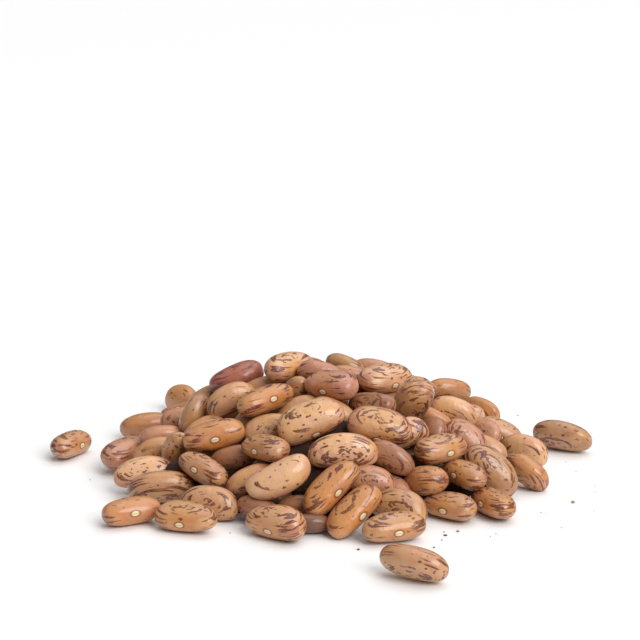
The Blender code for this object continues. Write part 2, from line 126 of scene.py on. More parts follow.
# In turn: the bean's centre in the picture (pixels), the slope of its long axis, how far its right
# end turns to the eye and its roll (degrees), its length (millimetres), how plump it is, how far
# it lies in front of the dome (millimetres), its ground tone, and its specks and arcs, 0 to 9.
SEEN_BEANS = [
    (236.5, 378, 20, 0, -100, 14, 1.1, 2, "red", 2, 3),
    (288, 367, 14, -48, 60, 15, 0.97, 5, "cream", 2, 7),
    (316.5, 371.5, -12, 0, -60, 11.2, 1, -5, "pink", 3, 5),
    (344.5, 365.5, -18, 30, -75, 10.6, 1.08, -6, "olive", 1, 4),
    (373, 370.5, -5, 0, -60, 11.5, 1, -12, "pink", 1, 1),
    (350, 378, -15, 0, -40, 11, 0.95, -8, "pink", 2, 2),
    (332, 385.5, -6, 38, 62, 14.2, 1.02, 3, "pink", 3, 3),
    (385, 378.5, 10, -40, 58, 14.8, 1.05, 5, "cream", 2, 7),
    (231, 400, 25, 0, -30, 12.6, 1, 2.5, "tan", 3, 1),
    (265, 400, 20, -32, 82, 14.8, 0.96, 4, "orange", 1, 3),
    (299, 393.5, 80, 50, 0, 11.5, 0.95, -5, "olive", 1, 0),
    (310.5, 421, 22, 0, 34, 15.9, 1.07, 5, "cream", 6, 2),
    (300, 409, 25, 0, -20, 12, 0.95, -5, "tan", 2, 1),
    (334, 414, -30, 0, 0, 12, 1, -2, "tan", 3, 1),
    (381, 426, -11, 0, 36, 15, 1.04, 2.5, "tan", 5, 5),
    (372, 406, -4, 35, 200, 12.5, 1, 0, "brown", 2, 8),
    (413, 402.5, 62, 45, -30, 13.8, 1.15, 2, "tan", 3, 8),
    (415, 390, 0, 0, -60, 11, 1, -6, "pink", 1, 3),
    (389, 399, 10, 0, 0, 12, 1, -8, "olive", 2, 2),
    (449, 390.5, -5, -30, -60, 12.3, 1, -6, "orange", 0, 0),
    (454, 412, -18, 0, -40, 11.8, 1.05, 0, "cream", 0, 3),
    (432, 418.5, -25, 0, -40, 10.5, 0.9, -6, "orange", 1, 2),
    (481.5, 411, -12, 35, -30, 11.2, 1, -4, "orange", 1, 1),
    (433, 430.5, -10, 68, 0, 10.8, 1, 0, "brown", 1, 1),
    (401.5, 435.5, 22, 0, 0, 12.3, 1, 0, "cream", 3, 7),
    (466, 438, -38, 0, 20, 11.2, 1.04, 2, "pink", 2, 5),
    (482, 430, -25, 45, 0, 11, 0.98, -2, "pink", 2, 2),
    (499, 431, -20, -15, 62, 11.8, 1, -3, "tan", 1, 2),
    (440, 449.3, 14, -38, 66, 13.2, 1.1, 4, "tan", 2, 9),
    (491.5, 470, -42, 0, 10, 15, 0.95, 1, "olive", 3, 6),
    (485, 449, -20, 0, 0, 11, 0.95, -4, "tan", 2, 2),
    (524.5, 450, -15, 18, -30, 12, 1.03, 0, "cream", 1, 1),
    (526.5, 471.5, -32, 18, -60, 12, 1.1, 0, "orange", 2, 9),
    (465, 474.5, -24, 50, 66, 13, 0.98, 2, "tan", 3, 2),
    (424, 480, 5, 60, -85, 12.7, 1.1, 1, "orange", 6, 3),
    (391.5, 461, -22, 15, -40, 12, 1, 2, "brown", 3, 6),
    (344, 452.5, 2, 0, -15, 15.8, 0.83, 4, "cream", 7, 6),
    (265, 450.5, -13, 55, 66, 14.5, 0.9, 3, "tan", 4, 4),
    (267, 430, 10, 0, 0, 12, 1, -2, "tan", 2, 1),
    (245, 428, 60, 0, -40, 11, 1, -7, "brown", 1, 0),
    (213, 436, 13, 0, 75, 14.6, 1.04, 3, "orange", 1, 2),
    (235, 456, 12, 20, -50, 11.2, 1, -1, "brown", 3, 8),
    (204, 470, -32, 42, 68, 14.4, 0.93, 2, "tan", 4, 7),
    (192, 415.5, 63, 0, -80, 10.8, 1.12, 1, "olive", 3, 4),
    (207, 400, 30, 0, 0, 11, 1, -5, "olive", 1, 1),
    (182, 399.5, -10, 50, 0, 11.5, 1.1, -6, "orange", 0, 0),
    (147, 426, 4, 0, -80, 13.8, 1.04, 0, "orange", 1, 1),
    (181, 419, 10, 0, 0, 10.5, 0.95, -8, "pink", 1, 1),
    (162.5, 434.5, 5, 0, -80, 10.4, 1, -1, "pink", 2, 2),
    (206, 424, 25, 0, 0, 11.5, 0.95, -5, "tan", 1, 0),
    (125, 452, 25, -48, 54, 15, 0.93, 0, "pink", 1, 3),
    (176, 449.5, 70, 50, 0, 11.6, 0.9, 1, "tan", 5, 2),
    (145, 473.5, 3, 0, 20, 14.6, 0.88, 0, "cream", 3, 5),
    (161, 487.5, 2, 0, -60, 15.2, 0.95, 0, "tan", 7, 4),
    (131, 511, 7, -15, 78, 13.4, 1, 0, "orange", 2, 2),
    (187, 517, -8, 28, 58, 14.6, 0.96, 0, "tan", 3, 6),
    (212, 504, -8, 14, 0, 13.4, 0.95, 0, "tan", 3, 6),
    (252, 480.5, 22, 0, -50, 12.3, 1, -1, "tan", 3, 2),
    (278, 480.5, 25, 0, 195, 15.3, 0.87, 5, "cream", 4, 0),
    (276, 522, -11, 34, 50, 14.6, 0.98, 0, "tan", 3, 8),
    (258, 507, -18, 28, -70, 11.2, 1, 0, "brown", 6, 4),
    (300, 506, 0, 0, -80, 10.5, 1, -4, "brown", 1, 1),
    (330.5, 488, 46, -8, 56, 15.3, 0.95, 4, "orange", 2, 3),
    # The umber bean below is darkened partly as painted shade, for the shade it lies in.
    (316, 518, 0, 0, -80, 9.5, 1, -2, "umber", 1, 5),
    (353.5, 511, 46, -12, 52, 14.7, 0.94, 1, "orange", 3, 4),
    (393.5, 527, 9, -18, 64, 14.2, 1, 0, "tan", 5, 5),
    (399.5, 507.5, -13, 20, 0, 13.2, 1, 0, "tan", 4, 4),
    (373, 481, -12, 0, 0, 10.8, 1.05, -2, "pink", 4, 7),
    (395, 486, -30, 40, 0, 11.5, 0.95, -2, "pink", 3, 3),
    (450, 504, -10, 30, 64, 12.9, 1, 0, "tan", 2, 5),
    (494, 503.5, -25, 56, 65, 13.8, 0.95, 0, "orange", 3, 8),
    # The next four are bits deep in the gaps: their near-black deep tone is painted shade.
    (313, 476, 30, 0, 0, 12, 1, -5, "deep", 2, 3),
    (300, 456, 0, 0, 0, 12, 1, -5, "deep", 2, 3),
    (335, 436, 0, 0, 0, 12, 1, -4, "deep", 2, 3),
    (187, 476, -20, 0, 0, 11, 1, -5, "deep", 2, 3),
    (157, 451, 10, 0, -30, 11.5, 0.95, -1.4, "tan", 1, 1),
    (265, 384, 15, 0, -60, 12, 1, -4, "tan", 2, 2),
]
STRAY_BEANS = {
    "stray_bean_left": (70.5, 444.5, 19, -57, 68, 13.8, 0.94, 0, "tan", 3, 6),
    "stray_bean_right": (562, 436, -8, 20, -60, 15.3, 0.93, 0, "olive", 5, 3),
    "stray_bean_front": (413.5, 562.5, -13, 24, -70, 15.3, 0.95, 0, "tan", 5, 2),
}


def dome(x, y):
    """Height of the beans' centres: it falls from the top by a power of the reach to the edge."""
    reach = np.hypot(x / HEAP_HALF_WIDTH, y / HEAP_HALF_DEPTH)
    return HEAP_EDGE + (HEAP_TOP - HEAP_EDGE) * (1 - reach**HEAP_SWELL)


def dome_normal(x, y):
    """Unit vector out of the dome, from its height a small step to each side."""
    step = 1.0 * MM
    slope_x = (dome(x + step, y) - dome(x - step, y)) / (2 * step)
    slope_y = (dome(x, y + step) - dome(x, y - step)) / (2 * step)
    normal = np.array([-slope_x, -slope_y, 1.0])
    return normal / np.linalg.norm(normal)


def line_of_sight(px, py):
    """Unit vector from the eye through a pixel of the picture."""
    across = (px - MIDDLE_PIXEL) / FOCAL_PIXELS * RIGHT
    down = (py - MIDDLE_PIXEL) / FOCAL_PIXELS * UP
    ray = FORWARD + across - down
    return ray / np.linalg.norm(ray)


def turned(long_way, outward, roll):
    """The bean's axes as rows: along it, to its hilum side, and out of its broad face.

    The face looks outward as far as the long axis lets it, then the bean rolls about that axis.
    """
    face = outward - (outward @ long_way) * long_way
    face /= np.linalg.norm(face)
    hilum = np.cross(long_way, face)
    return np.array([
        long_way,
        np.cos(roll) * hilum + np.sin(roll) * face,
        np.cos(roll) * face - np.sin(roll) * hilum,
    ])


def seen_axes(px, py, tilt, toward, roll):
    """Axes of a bean that is read from the picture, from its slope, turn and roll there."""
    ray = line_of_sight(px, py)
    across = np.cross(ray, [0, 0, 1.0])
    across /= np.linalg.norm(across)
    upward = np.cross(across, ray)
    tilt, toward, roll = np.radians([tilt, toward, roll])
    in_picture = np.cos(tilt) * across + np.sin(tilt) * upward
    long_way = np.cos(toward) * in_picture - np.sin(toward) * ray
    return turned(long_way, -ray, roll)


def half_height(axes, halves):
    """Half an ellipsoid's upright extent: the root of the summed squares of its axes' rises."""
    return np.sqrt(((axes[..., 2] * halves) ** 2).sum(-1))


def seen_place(px, py, near, low, on_heap):
    """Where the line of sight meets the dome or the floor, or passes nearest over the dome."""
    ray = line_of_sight(px, py)
    way = np.arange(NEAREST, FURTHEST, SIGHT_STEP)
    path = EYE + way[:, None] * ray
    layer = dome(path[:, 0], path[:, 1])
    if on_heap:
        reach = np.hypot(path[:, 0] / HEAP_HALF_WIDTH, path[:, 1] / HEAP_HALF_DEPTH)
        met = (path[:, 2] < np.maximum(layer, low)) & (reach < HEAP_LIMIT)
    else:
        met = path[:, 2] < low
    hit = np.argmax(met) if met.any() else np.argmin(path[:, 2] - layer)
    return EYE + (way[hit] - near) * ray


def lay_seen(rows, on_heap):
    """Centres, axes, half sizes and lines of sight of the beans in a table."""
    centres, axes, halves, rays = [], [], [], []
    for px, py, tilt, toward, roll, length, plump, near, *_ in rows:
        own_axes = seen_axes(px, py, tilt, toward, roll)
        own_halves = length * MM / 2 * np.array([1, plump * BEAN_WIDTH, plump * BEAN_THICKNESS])
        low = half_height(own_axes, own_halves)
        centres.append(seen_place(px, py, near * MM, low, on_heap))
        axes.append(own_axes)
        halves.append(own_halves)
        rays.append(line_of_sight(px, py))
    return np.array(centres), np.array(axes), np.array(halves), np.array(rays)


def is_covered(centre, own_axes, own_halves, seen):
    """Whether seen beans lie before both ends of a bean, at or over their lines of sight."""
    covers = []
    for step in (-HIDDEN_ENDS, HIDDEN_ENDS):
        end = centre + step * own_halves[0] * own_axes[0] - EYE
        far = np.linalg.norm(end)
        ray = end / far
        along = (seen - EYE) @ ray
        off = seen - EYE - along[:, None] * ray
        over = (abs(off @ RIGHT) < HIDDEN_COVER) & (off @ UP > -HIDDEN_SHOWS)
        covers.append((over & (along < far)).any())
    return all(covers)


def lay_hidden(taken, kept_clear, rng):
    """Beans of the far side and between the seen ones, each kept if it has room and is covered.

    They follow a spiral of golden-angle steps over the dome, and lie deeper where the eye looks on.
    The outermost lie on the floor.
    """
    centres, axes, halves = [], [], []
    for k in range(HIDDEN_TRIES):
        reach = HIDDEN_REACH * np.sqrt((k + 0.5) / HIDDEN_TRIES)
        turn = k * GOLDEN_TURN
        wander = rng.normal(0, HIDDEN_WANDER, 2)
        heading = rng.uniform(0, 2 * np.pi)
        lean = rng.normal(0, HIDDEN_LEAN)
        roll = rng.normal(0, HIDDEN_ROLL)
        on_edge = rng.random() < HIDDEN_ON_EDGE
        length = rng.normal(BEAN_LENGTH, BEAN_LENGTH_SPREAD)
        length = np.clip(length, HIDDEN_SHORTEST, HIDDEN_LONGEST)
        x = HEAP_HALF_WIDTH * reach * np.cos(turn) + wander[0]
        y = HEAP_HALF_DEPTH * reach * np.sin(turn) + wander[1]
        outward = dome_normal(x, y)
        side = np.cross(outward, [np.cos(heading), np.sin(heading), 0.0])
        side /= np.linalg.norm(side)
        long_way = np.cos(lean) * side + np.sin(lean) * outward
        own_axes = turned(long_way, outward, roll + (np.pi / 2 if on_edge else 0))
        own_halves = length / 2 * np.array([1, BEAN_WIDTH, BEAN_THICKNESS])
        facing = np.clip((HIDDEN_BACK - outward @ FORWARD) / HIDDEN_FACING, 0, 1)
        height = dome(x, y) - HIDDEN_SUNK * facing
        low = half_height(own_axes, own_halves)
        centre = np.array([x, y, low if reach > HIDDEN_ON_FLOOR else max(height, low)])
        others = np.concatenate([taken, np.array(centres).reshape(-1, 3)])
        room = np.linalg.norm(others - centre, axis=1).min() > HIDDEN_SPACING
        clear = np.linalg.norm(kept_clear - centre, axis=1).min() > STRAY_CLEAR
        if room and clear and is_covered(centre, own_axes, own_halves, taken):
            centres.append(centre)
            axes.append(own_axes)
            halves.append(own_halves)
    return np.array(centres), np.array(axes), np.array(halves)


def rank_of(rows):
    """2 for a bean in front, 1 for one that shows behind others, by its place before the dome."""
    return np.array([2.0 if row[7] > DEEP_ROW else 1.0 for row in rows])


def ball_points(count):
    """Points spread evenly over a unit ball by golden-angle steps."""
    k = np.arange(count) + 0.5
    height = 1 - 2 * k / count
    turn = k * GOLDEN_TURN
    round_it = np.sqrt(1 - height**2)
    return np.stack([round_it * np.cos(turn), round_it * np.sin(turn), height], -1)


def dips(centres, axes, halves, points):
    """Pairs i, j of beans where the skin of i dips into j, how deep, and the way out of j.

    The skin points of i are put in the frame of j and divided by its half sizes; where their
    length is under 1 they are inside, and the way out is the slope of that length.
    """
    apart = np.linalg.norm(centres[:, None] - centres, axis=2)
    close = apart < halves[:, 0, None] + halves[None, :, 0]
    np.fill_diagonal(close, False)
    i, j = np.nonzero(close)
    skin = np.einsum("pk,nk,nkc->npc", points, halves[i], axes[i])
    skin += (centres[i] - centres[j])[:, None]
    inside = np.einsum("npc,nkc->npk", skin, axes[j]) / halves[j][:, None]
    level = np.linalg.norm(inside, axis=2)
    rows = np.arange(len(i))
    worst = level.argmin(axis=1)
    level, inside = level[rows, worst], inside[rows, worst]
    way = np.einsum("nk,nkc->nc", inside / halves[j], axes[j])
    way /= np.linalg.norm(way, axis=1, keepdims=True)
    reach = np.abs(((inside * halves[j]) * np.einsum("nc,nkc->nk", way, axes[j])).sum(1))
    hit = level < 1
    depth = (1 - level) / np.maximum(level, EASE_LEAST_LEVEL) * reach
    return i[hit], j[hit], depth[hit], way[hit]


def ease_apart(centres, axes, halves, rays, rank):
    """Push overlapping beans apart a little at a time.

    A bean with a line of sight moves mostly along it, so that it stays where the picture has it,
    and no bean gives way to one of a lower rank.
    """
    centres = centres.copy()
    points = ball_points(EASE_POINTS)
    rise = half_height(axes, halves)
    seen = np.arange(len(centres)) < len(rays)
    sight = np.zeros_like(centres)
    sight[seen] = rays
    for _ in range(EASE_ROUNDS):
        i, j, depth, way = dips(centres, axes, halves, points)
        step = EASE_SHARE * depth[:, None] * way
        push = np.zeros_like(centres)
        np.add.at(push, i, step * (rank[i] <= rank[j])[:, None])
        np.add.at(push, j, -step * (rank[j] <= rank[i])[:, None])
        along = (push * sight).sum(1, keepdims=True) * sight
        centres += np.where(seen[:, None], along + EASE_SIDEWAYS * (push - along), push)
        roof = dome(centres[:, 0], centres[:, 1]) + HIDDEN_RISE
        centres[~seen, 2] = np.minimum(centres[:, 2], roof)[~seen]
        sunk = np.clip(rise - centres[:, 2], 0, None)
        centres[seen] += (sunk[seen] / rays[:, 2])[:, None] * rays
        centres[~seen, 2] += sunk[~seen]
    return centres


def has_room(centres, axes, halves, rank):
    """Which beans stay: all but those of rank 0 that still dip more than CROWDED into another."""
    i, _, depth, _ = dips(centres, axes, halves, ball_points(EASE_POINTS))
    stays = np.full(len(centres), True)
    stays[i[(depth > CROWDED) & (rank[i] == 0)]] = False
    return stays


def bean_shapes(halves, rng):
    """Each bean's own width, thickness, bend and skew, drawn about its half sizes and the usual."""
    count = len(halves)
    return np.stack([
        halves[:, 1] / halves[:, 0] + rng.normal(0, BEAN_SPREAD, count),
        halves[:, 2] / halves[:, 0] + rng.normal(0, BEAN_SPREAD, count),
        rng.normal(BEAN_BEND, BEAN_BEND_SPREAD, count),
        rng.normal(0, BEAN_SKEW_SPREAD, count),
    ], -1)


def ball_grid(around, rings):
    """A unit ball as a grid of turns and rings between two poles, and its outward faces."""
    polar = np.linspace(0, np.pi, rings + 1)[1:-1, None]
    turn = np.arange(around)[None] * 2 * np.pi / around
    grid = np.stack(np.broadcast_arrays(
        np.sin(polar) * np.cos(turn), np.sin(polar) * np.sin(turn), np.cos(polar),
    ), -1).reshape(-1, 3)
    points = np.concatenate([[[0, 0, 1]], grid, [[0, 0, -1]]])
    index = 1 + np.arange((rings - 1) * around).reshape(rings - 1, around)
    beside = np.roll(index, -1, axis=1)
    quads = np.stack([index[:-1], index[1:], beside[1:], beside[:-1]], -1).reshape(-1, 4)
    top = np.stack([np.zeros(around, int), index[0], beside[0]], -1)
    bottom = np.stack([np.full(around, len(points) - 1), beside[-1], index[-1]], -1)
    return points, quads, np.concatenate([top, bottom])


def girth_waves(turn, along, lumps):
    """Sum of two waves about the girth, with 2 and 3 crests, which twist along the bean."""
    first = np.cos(2 * turn + 3 * along + lumps[:, :1])
    return first + np.cos(3 * turn - 4 * along + lumps[:, 1:])


def bean_skin(ball, lengths, shapes, lumps):
    """Beans in their own frames, from the points of a unit ball whose poles are their ends.

    Both the run along a bean and its girth are powers 2 / bluntness of a circle's, so its ends are
    blunter than an ellipse's. One end is a little fatter, the hilum side is flattened, the ends
    curve to that side by the square of the run, and two slow waves about the girth make it uneven.
    """
    width, thickness, bend, skew = np.moveaxis(shapes, -1, 0)[..., None]
    power = 2 / BEAN_BLUNTNESS
    along = np.sign(ball[:, 2]) * np.abs(ball[:, 2]) ** power
    round_it = np.hypot(ball[:, 0], ball[:, 1])
    turn = np.arctan2(ball[:, 1], ball[:, 0])
    lumpy = 1 + BEAN_LUMP * (girth_waves(turn, along, lumps) - 1)
    girth = round_it**power * (1 + skew * along) * lumpy
    round_it = np.maximum(round_it, POLE_WIDTH)
    face, hilum = ball[:, 0] / round_it, ball[:, 1] / round_it
    hilum = np.where(hilum > 0, HILUM_SIDE, 1.0) * hilum
    return lengths[:, None, None] * np.stack([
        np.broadcast_to(along / 2, girth.shape),
        width / 2 * girth * hilum + bend * (along**2 - BEAN_BEND_MIDDLE),
        thickness / 2 * girth * face,
    ], -1)


def joined(name, skins, quads, tris, per_point):
    """One piece from many like ones: skins is pieces by points, per_point holds named vectors."""
    count, points = skins.shape[:2]
    first = np.arange(count)[:, None, None] * points
    mesh = bpy.data.meshes.new(name)
    faces = (quads + first).reshape(-1, 4).tolist() + (tris + first).reshape(-1, 3).tolist()
    mesh.from_pydata(skins.reshape(-1, 3), [], faces)
    for key, values in per_point.items():
        values = np.broadcast_to(values, (count, points, 3)).astype(np.float32)
        layer = mesh.attributes.new(key, "FLOAT_VECTOR", "POINT")
        layer.data.foreach_set("vector", values.ravel())
    mesh.shade_smooth()
    mesh.update()
    piece = bpy.data.objects.new(name, mesh)
    bpy.context.scene.collection.objects.link(piece)
    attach(piece, "root")
    return piece


def paint(red, green, blue):
    """A colour of a screen, from 0 to 255, as the amounts of light that it stands for."""
    screen = np.array([red, green, blue]) / 255
    return np.where(screen > 0.04045, ((screen + 0.055) / 1.055) ** 2.4, screen / 12.92)


# The tones of the skin between its marks. Beans out of sight get one of the first six. The umber
# tone is a dark brown that is partly painted shade, for a bean low in front that lies in shade, and
# the last, deep, is painted shade, nearly black, for beans deep in the gaps, which don't shine.
TONES = {
    "tan": paint(197, 147, 107),
    "cream": paint(214, 166, 127),
    "orange": paint(193, 135, 88),
    "pink": paint(190, 136, 109),
    "olive": paint(182, 137, 100),
    "brown": paint(164, 114, 84),
    "red": paint(166, 98, 80),
    # A dark brown that is partly painted shade, for a bean that lies in shade.
    "umber": paint(112, 72, 52),
    # Painted shade: nearly black, for beans that show only deep in the gaps.
    "deep": paint(54, 32, 20),
}
USUAL_TONES = list(TONES)[:6]
TONE_SPREAD = 0.04
MOST_MARKS = 9
DRAWN_SPECKS = (1, 6)
DRAWN_ARCS = (0, 8)
LOOKS_SEED = 5
JUMP_REACH = 400.0
ARC_RUN = 1.3
ARC_CLOSE = 6.5


def looks_of(rows, count, rng):
    """Tones and marks: from the table's rows, and drawn for the beans beyond them.

    Marks are the amounts of specks and of arcs, each from 0 to 1, and 1 where the skin shines.
    """
    drawn = [(
        USUAL_TONES[rng.integers(len(USUAL_TONES))],
        rng.integers(*DRAWN_SPECKS),
        rng.integers(*DRAWN_ARCS),
    ) for _ in range(count)]
    looks = [row[-3:] for row in rows] + drawn[len(rows):]
    tones = np.array([TONES[tone] for tone, _, _ in looks])
    marks = np.array([
        [specks / MOST_MARKS, arcs / MOST_MARKS, tone != "deep"] for tone, specks, arcs in looks
    ], float)
    return tones * rng.normal(1, TONE_SPREAD, (count, 1)), marks


def pattern_places(skins, hilums, lengths, shapes, rng):
    """What the skin's pattern is read from, for each point.

    skin_place is the place from the hilum in millimetres. skin_spot is the same with a jump of its
    own for each bean. skin_run turns once about the outline and climbs from one broad face over
    the rim to the other, so that a pattern which varies slowly round it and fast up it makes arcs.
    """
    jumps = rng.uniform(0, JUMP_REACH, (len(skins), 1, 3))
    place = (skins - hilums[:, None]) / MM
    broad = shapes[:, None, :2] * lengths[:, None, None] / 2
    long_way = skins[..., 0] / (lengths[:, None] / 2)
    wide_way = skins[..., 1] / broad[..., 0]
    thick_way = skins[..., 2] / broad[..., 1]
    reach = np.hypot(long_way, wide_way)
    turn = np.arctan2(wide_way, long_way)
    climb = np.arctan2(thick_way, reach)
    run = np.stack([ARC_RUN * np.cos(turn), ARC_RUN * np.sin(turn), ARC_CLOSE * climb], -1)
    return {"skin_place": place, "skin_spot": place + jumps, "skin_run": run + jumps}


def hilum_height(run, out, lengths, shapes, lumps):
    """Height of each bean's hilum side over its middle plane, at a run along and a way out.

    It solves bean_skin for the flattened side: the ball's point is found from the run along, and
    the way out to the broad face is the cosine of the turn there.
    """
    width, thickness, bend, skew = np.moveaxis(shapes, -1, 0)[..., None]
    along = run / (lengths[:, None] / 2)
    level = np.sign(along) * np.abs(along) ** (BEAN_BLUNTNESS / 2)
    bare = np.sqrt(1 - level**2) ** (2 / BEAN_BLUNTNESS) * (1 + skew * along)
    face = np.clip(out / (thickness / 2 * bare * lengths[:, None]), -1, 1)
    turn = np.arccos(face)
    girth = bare * (1 + BEAN_LUMP * (girth_waves(turn, along, lumps) - 1))
    rise = width / 2 * girth * HILUM_SIDE * np.sin(turn) + bend * (along**2 - BEAN_BEND_MIDDLE)
    return lengths[:, None] * rise


class Wire:
    """A value on its way through a material: +, -, * and abs() on it add Math nodes."""

    def __init__(self, finish, socket):
        self.finish = finish
        self.socket = socket

    def __add__(self, other):
        return self.finish.maths("ADD", self, other)

    def __sub__(self, other):
        return self.finish.maths("SUBTRACT", self, other)

    def __rsub__(self, other):
        return self.finish.maths("SUBTRACT", other, self)

    def __mul__(self, other):
        return self.finish.maths("MULTIPLY", self, other)

    def __abs__(self):
        return self.finish.maths("ABSOLUTE", self)

    __radd__ = __add__
    __rmul__ = __mul__


class Finish:
    """A material that starts as one Principled surface, and the nodes that feed it."""

    def __init__(self, name, **constants):
        self.material = bpy.data.materials.new(name)
        self.material.use_nodes = True
        self.tree = self.material.node_tree
        self.surface = self.tree.nodes["Principled BSDF"]
        for key, value in constants.items():
            self.surface.inputs[key.replace("_", " ")].default_value = value

    def put(self, socket, value):
        """Links a wire to a socket, or sets the socket to a number, colour or vector."""
        if isinstance(value, Wire):
            self.tree.links.new(value.socket, socket)
        elif hasattr(socket.default_value, "__len__") and len(socket.default_value) > len(value):
            socket.default_value = (*value, 1.0)
        else:
            socket.default_value = value

    def add(self, kind, settings, values, output=0):
        """Adds a node of a type: its settings first, then the values or links of its sockets."""
        node = self.tree.nodes.new(kind)
        for key, value in settings.items():
            setattr(node, key, value)
        for key, value in values.items():
            self.put(node.inputs[key], value)
        return Wire(self, node.outputs[output])

    def maths(self, operation, *values):
        return self.add("ShaderNodeMath", {"operation": operation}, dict(enumerate(values)))

    def read(self, attribute):
        """A vector that the mesh keeps for each point."""
        return self.add("ShaderNodeAttribute", {"attribute_name": attribute}, {}, output=1)

    def own_place(self):
        """The place in the object's own frame, in metres."""
        return self.add("ShaderNodeTexCoord", {}, {}, output=3)

    def split(self, vector):
        """The three parts of a vector."""
        node = self.add("ShaderNodeSeparateXYZ", {}, {0: vector}).socket.node
        return [Wire(self, socket) for socket in node.outputs]

    def stretched(self, vector, *times):
        return self.add("ShaderNodeVectorMath", {"operation": "MULTIPLY"}, {0: vector, 1: times})

    def length(self, vector):
        return self.add("ShaderNodeVectorMath", {"operation": "LENGTH"}, {0: vector}, output=1)

    def noise(self, vector, scale, detail=2.0, rough=0.5, twist=0.0):
        """Soft cloudy noise about 0.5, so many lumps to the unit."""
        values = {"Vector": vector, "Scale": scale, "Detail": detail}
        values |= {"Roughness": rough, "Distortion": twist}
        return self.add("ShaderNodeTexNoise", {}, values)

    def ramp(self, value, start, end):
        """0 up to start, 1 from end on, and a smooth rise between; start may be the higher one."""
        values = {"Value": value, "From Min": start, "From Max": end}
        return self.add("ShaderNodeMapRange", {"interpolation_type": "SMOOTHSTEP"}, values)

    def mixed(self, share, first, second):
        """The first colour, turned into the second as the share goes from 0 to 1."""
        values = {0: share, 6: first, 7: second}
        return self.add("ShaderNodeMix", {"data_type": "RGBA"}, values, output=2)

    def tinted(self, share, colour, tint):
        """A colour times a tint, as the share goes from 0 to 1."""
        settings = {"data_type": "RGBA", "blend_type": "MULTIPLY"}
        return self.add("ShaderNodeMix", settings, {0: share, 6: colour, 7: tint}, output=2)

    def bumped(self, height, strength, depth):
        """Sets the surface's normal from a height, with the depth in metres of one unit of it."""
        values = {"Strength": strength, "Distance": depth, "Height": height}
        self.put(self.surface.inputs["Normal"], self.add("ShaderNodeBump", {}, values))


# Noises on the skin, in lumps to the millimetre: broad clouds, patches, lumps and fine grain
CLOUD_CLOSE = 0.16
PATCH_CLOSE = 0.3
LUMP_CLOSE = 0.55
GRAIN_CLOSE = 3.2
GRAIN_DETAIL = 3.0
GRAIN_ROUGH = 0.65

# Tints that the ground is multiplied by, how much of each, and where each begins and is full
OCHRE = (1.0, 0.98, 0.74)
OCHRE_SHARE = 0.8
OCHRE_CLOUDS = (0.4, 0.62)
RIM = (0.92, 0.78, 0.74)
RIM_SHARE = 0.6
RIM_PATCHES = (0.35, 0.65)
RIM_FROM_MIDDLE = (2.6, 0.6)
HALO = (1.0, 0.83, 0.62)
HALO_SHARE = 0.9
HALO_CLOUDS = (0.3, 0.6)
HALO_STRETCH = (0.55, 0.9, 0.8)
HALO_FROM_HILUM = (3.4, 0.9)
BLUSH = (0.78, 0.64, 0.72)
BLUSH_PATCHES = (0.48, 0.62)
BLUSH_WITHOUT_ARCS = 0.3
BLUSH_AT_MIDDLE = 0.2
END_FROM_HILUM = (2.4, 5.6)
GRAIN_SHARE = 0.4
GRAIN_TINTED = (0.5, 0.75)

# Specks: cells of one to the millimetre or so, of which the lucky ones hold a blot
SPECK_CLOSE = 1.05
SPECK_WANDER = (0.9, 0.9, 0.9)
SPECK_WANDER_CLOSE = 1.1
SPECK_STRETCH = (0.6, 1.0, 1.0)
SPECK_SIZE = 0.8
SPECK_LUCK = 0.76
SPECK_AMOUNT = 0.6
SPECK_PATCHY = 0.5
SPECK_LARGEST = 0.3
SPECK_EDGE = (0.03, -0.05)

# Arcs: the crests of a noise that is long about the outline and short across the rim
ARC_ROUGH = 0.35
ARC_TWIST = 0.35
ARC_PATCH_CLOSE = 0.42
ARC_PATCHY = 0.5
ARC_AMOUNT = 0.2
ARC_FEWER = 0.05
ARC_AT_ENDS = 0.03
ARC_MOST = 0.1
ARC_EDGE = (0.63, 0.66)
ARC_CLEAR_STRETCH = (0.3, 0.0, 0.45)
ARC_CLEAR_OF_HILUM = (0.7, 1.35)

MARK_PURPLE = paint(94, 36, 36)
MARK_BROWN = paint(100, 48, 28)
MARK_CLOUDS = (0.4, 0.6)
MARK_FAINTEST = 0.62
MARK_GRAIN = (0.35, 0.6)
HILUM_HALF_LENGTH = 0.95
HILUM_HALF_BREADTH = 0.6
RING = paint(104, 70, 40)
RING_SHARE = 0.75
RING_FADE = (1.7, 1.15)
DULL_ROUGHNESS = 0.8
SHINE = 0.5
GRAIN_DULLS = 0.16
COAT = 0.35
COAT_ROUGHNESS = 0.15
SKIN_IOR = 1.5
GRAIN_HEIGHT = 0.08
BUMP_STRENGTH = 0.55
BUMP_DEPTH = 0.5 * MM


def skin_ground(skin, place, cloud, patch, grain, arcs, ends):
    """The bean's own tone times its tints: ochre clouds, the rim, the halo and the blush.

    The halo fades with the stretched distance from the hilum, the rim with the distance from the
    bean's middle plane, and the blush grows to the ends and with the amount of arcs.
    """
    out = skin.split(place)[2]
    rim = skin.ramp(abs(out), *RIM_FROM_MIDDLE)
    halo = skin.ramp(skin.length(skin.stretched(place, *HALO_STRETCH)), *HALO_FROM_HILUM)
    blush = BLUSH_WITHOUT_ARCS + (1 - BLUSH_WITHOUT_ARCS) * arcs
    blush = blush * skin.ramp(patch, *BLUSH_PATCHES)
    blush = blush * (BLUSH_AT_MIDDLE + (1 - BLUSH_AT_MIDDLE) * ends)
    tone = skin.read("skin_tone")
    ground = skin.tinted(skin.ramp(cloud, *OCHRE_CLOUDS) * OCHRE_SHARE, tone, OCHRE)
    ground = skin.tinted(rim * skin.ramp(patch, *RIM_PATCHES) * RIM_SHARE, ground, RIM)
    ground = skin.tinted(halo * skin.ramp(cloud, *HALO_CLOUDS) * HALO_SHARE, ground, HALO)
    ground = skin.tinted(blush, ground, BLUSH)
    return skin.tinted(skin.ramp(grain, *GRAIN_TINTED) * GRAIN_SHARE, ground, BLUSH)


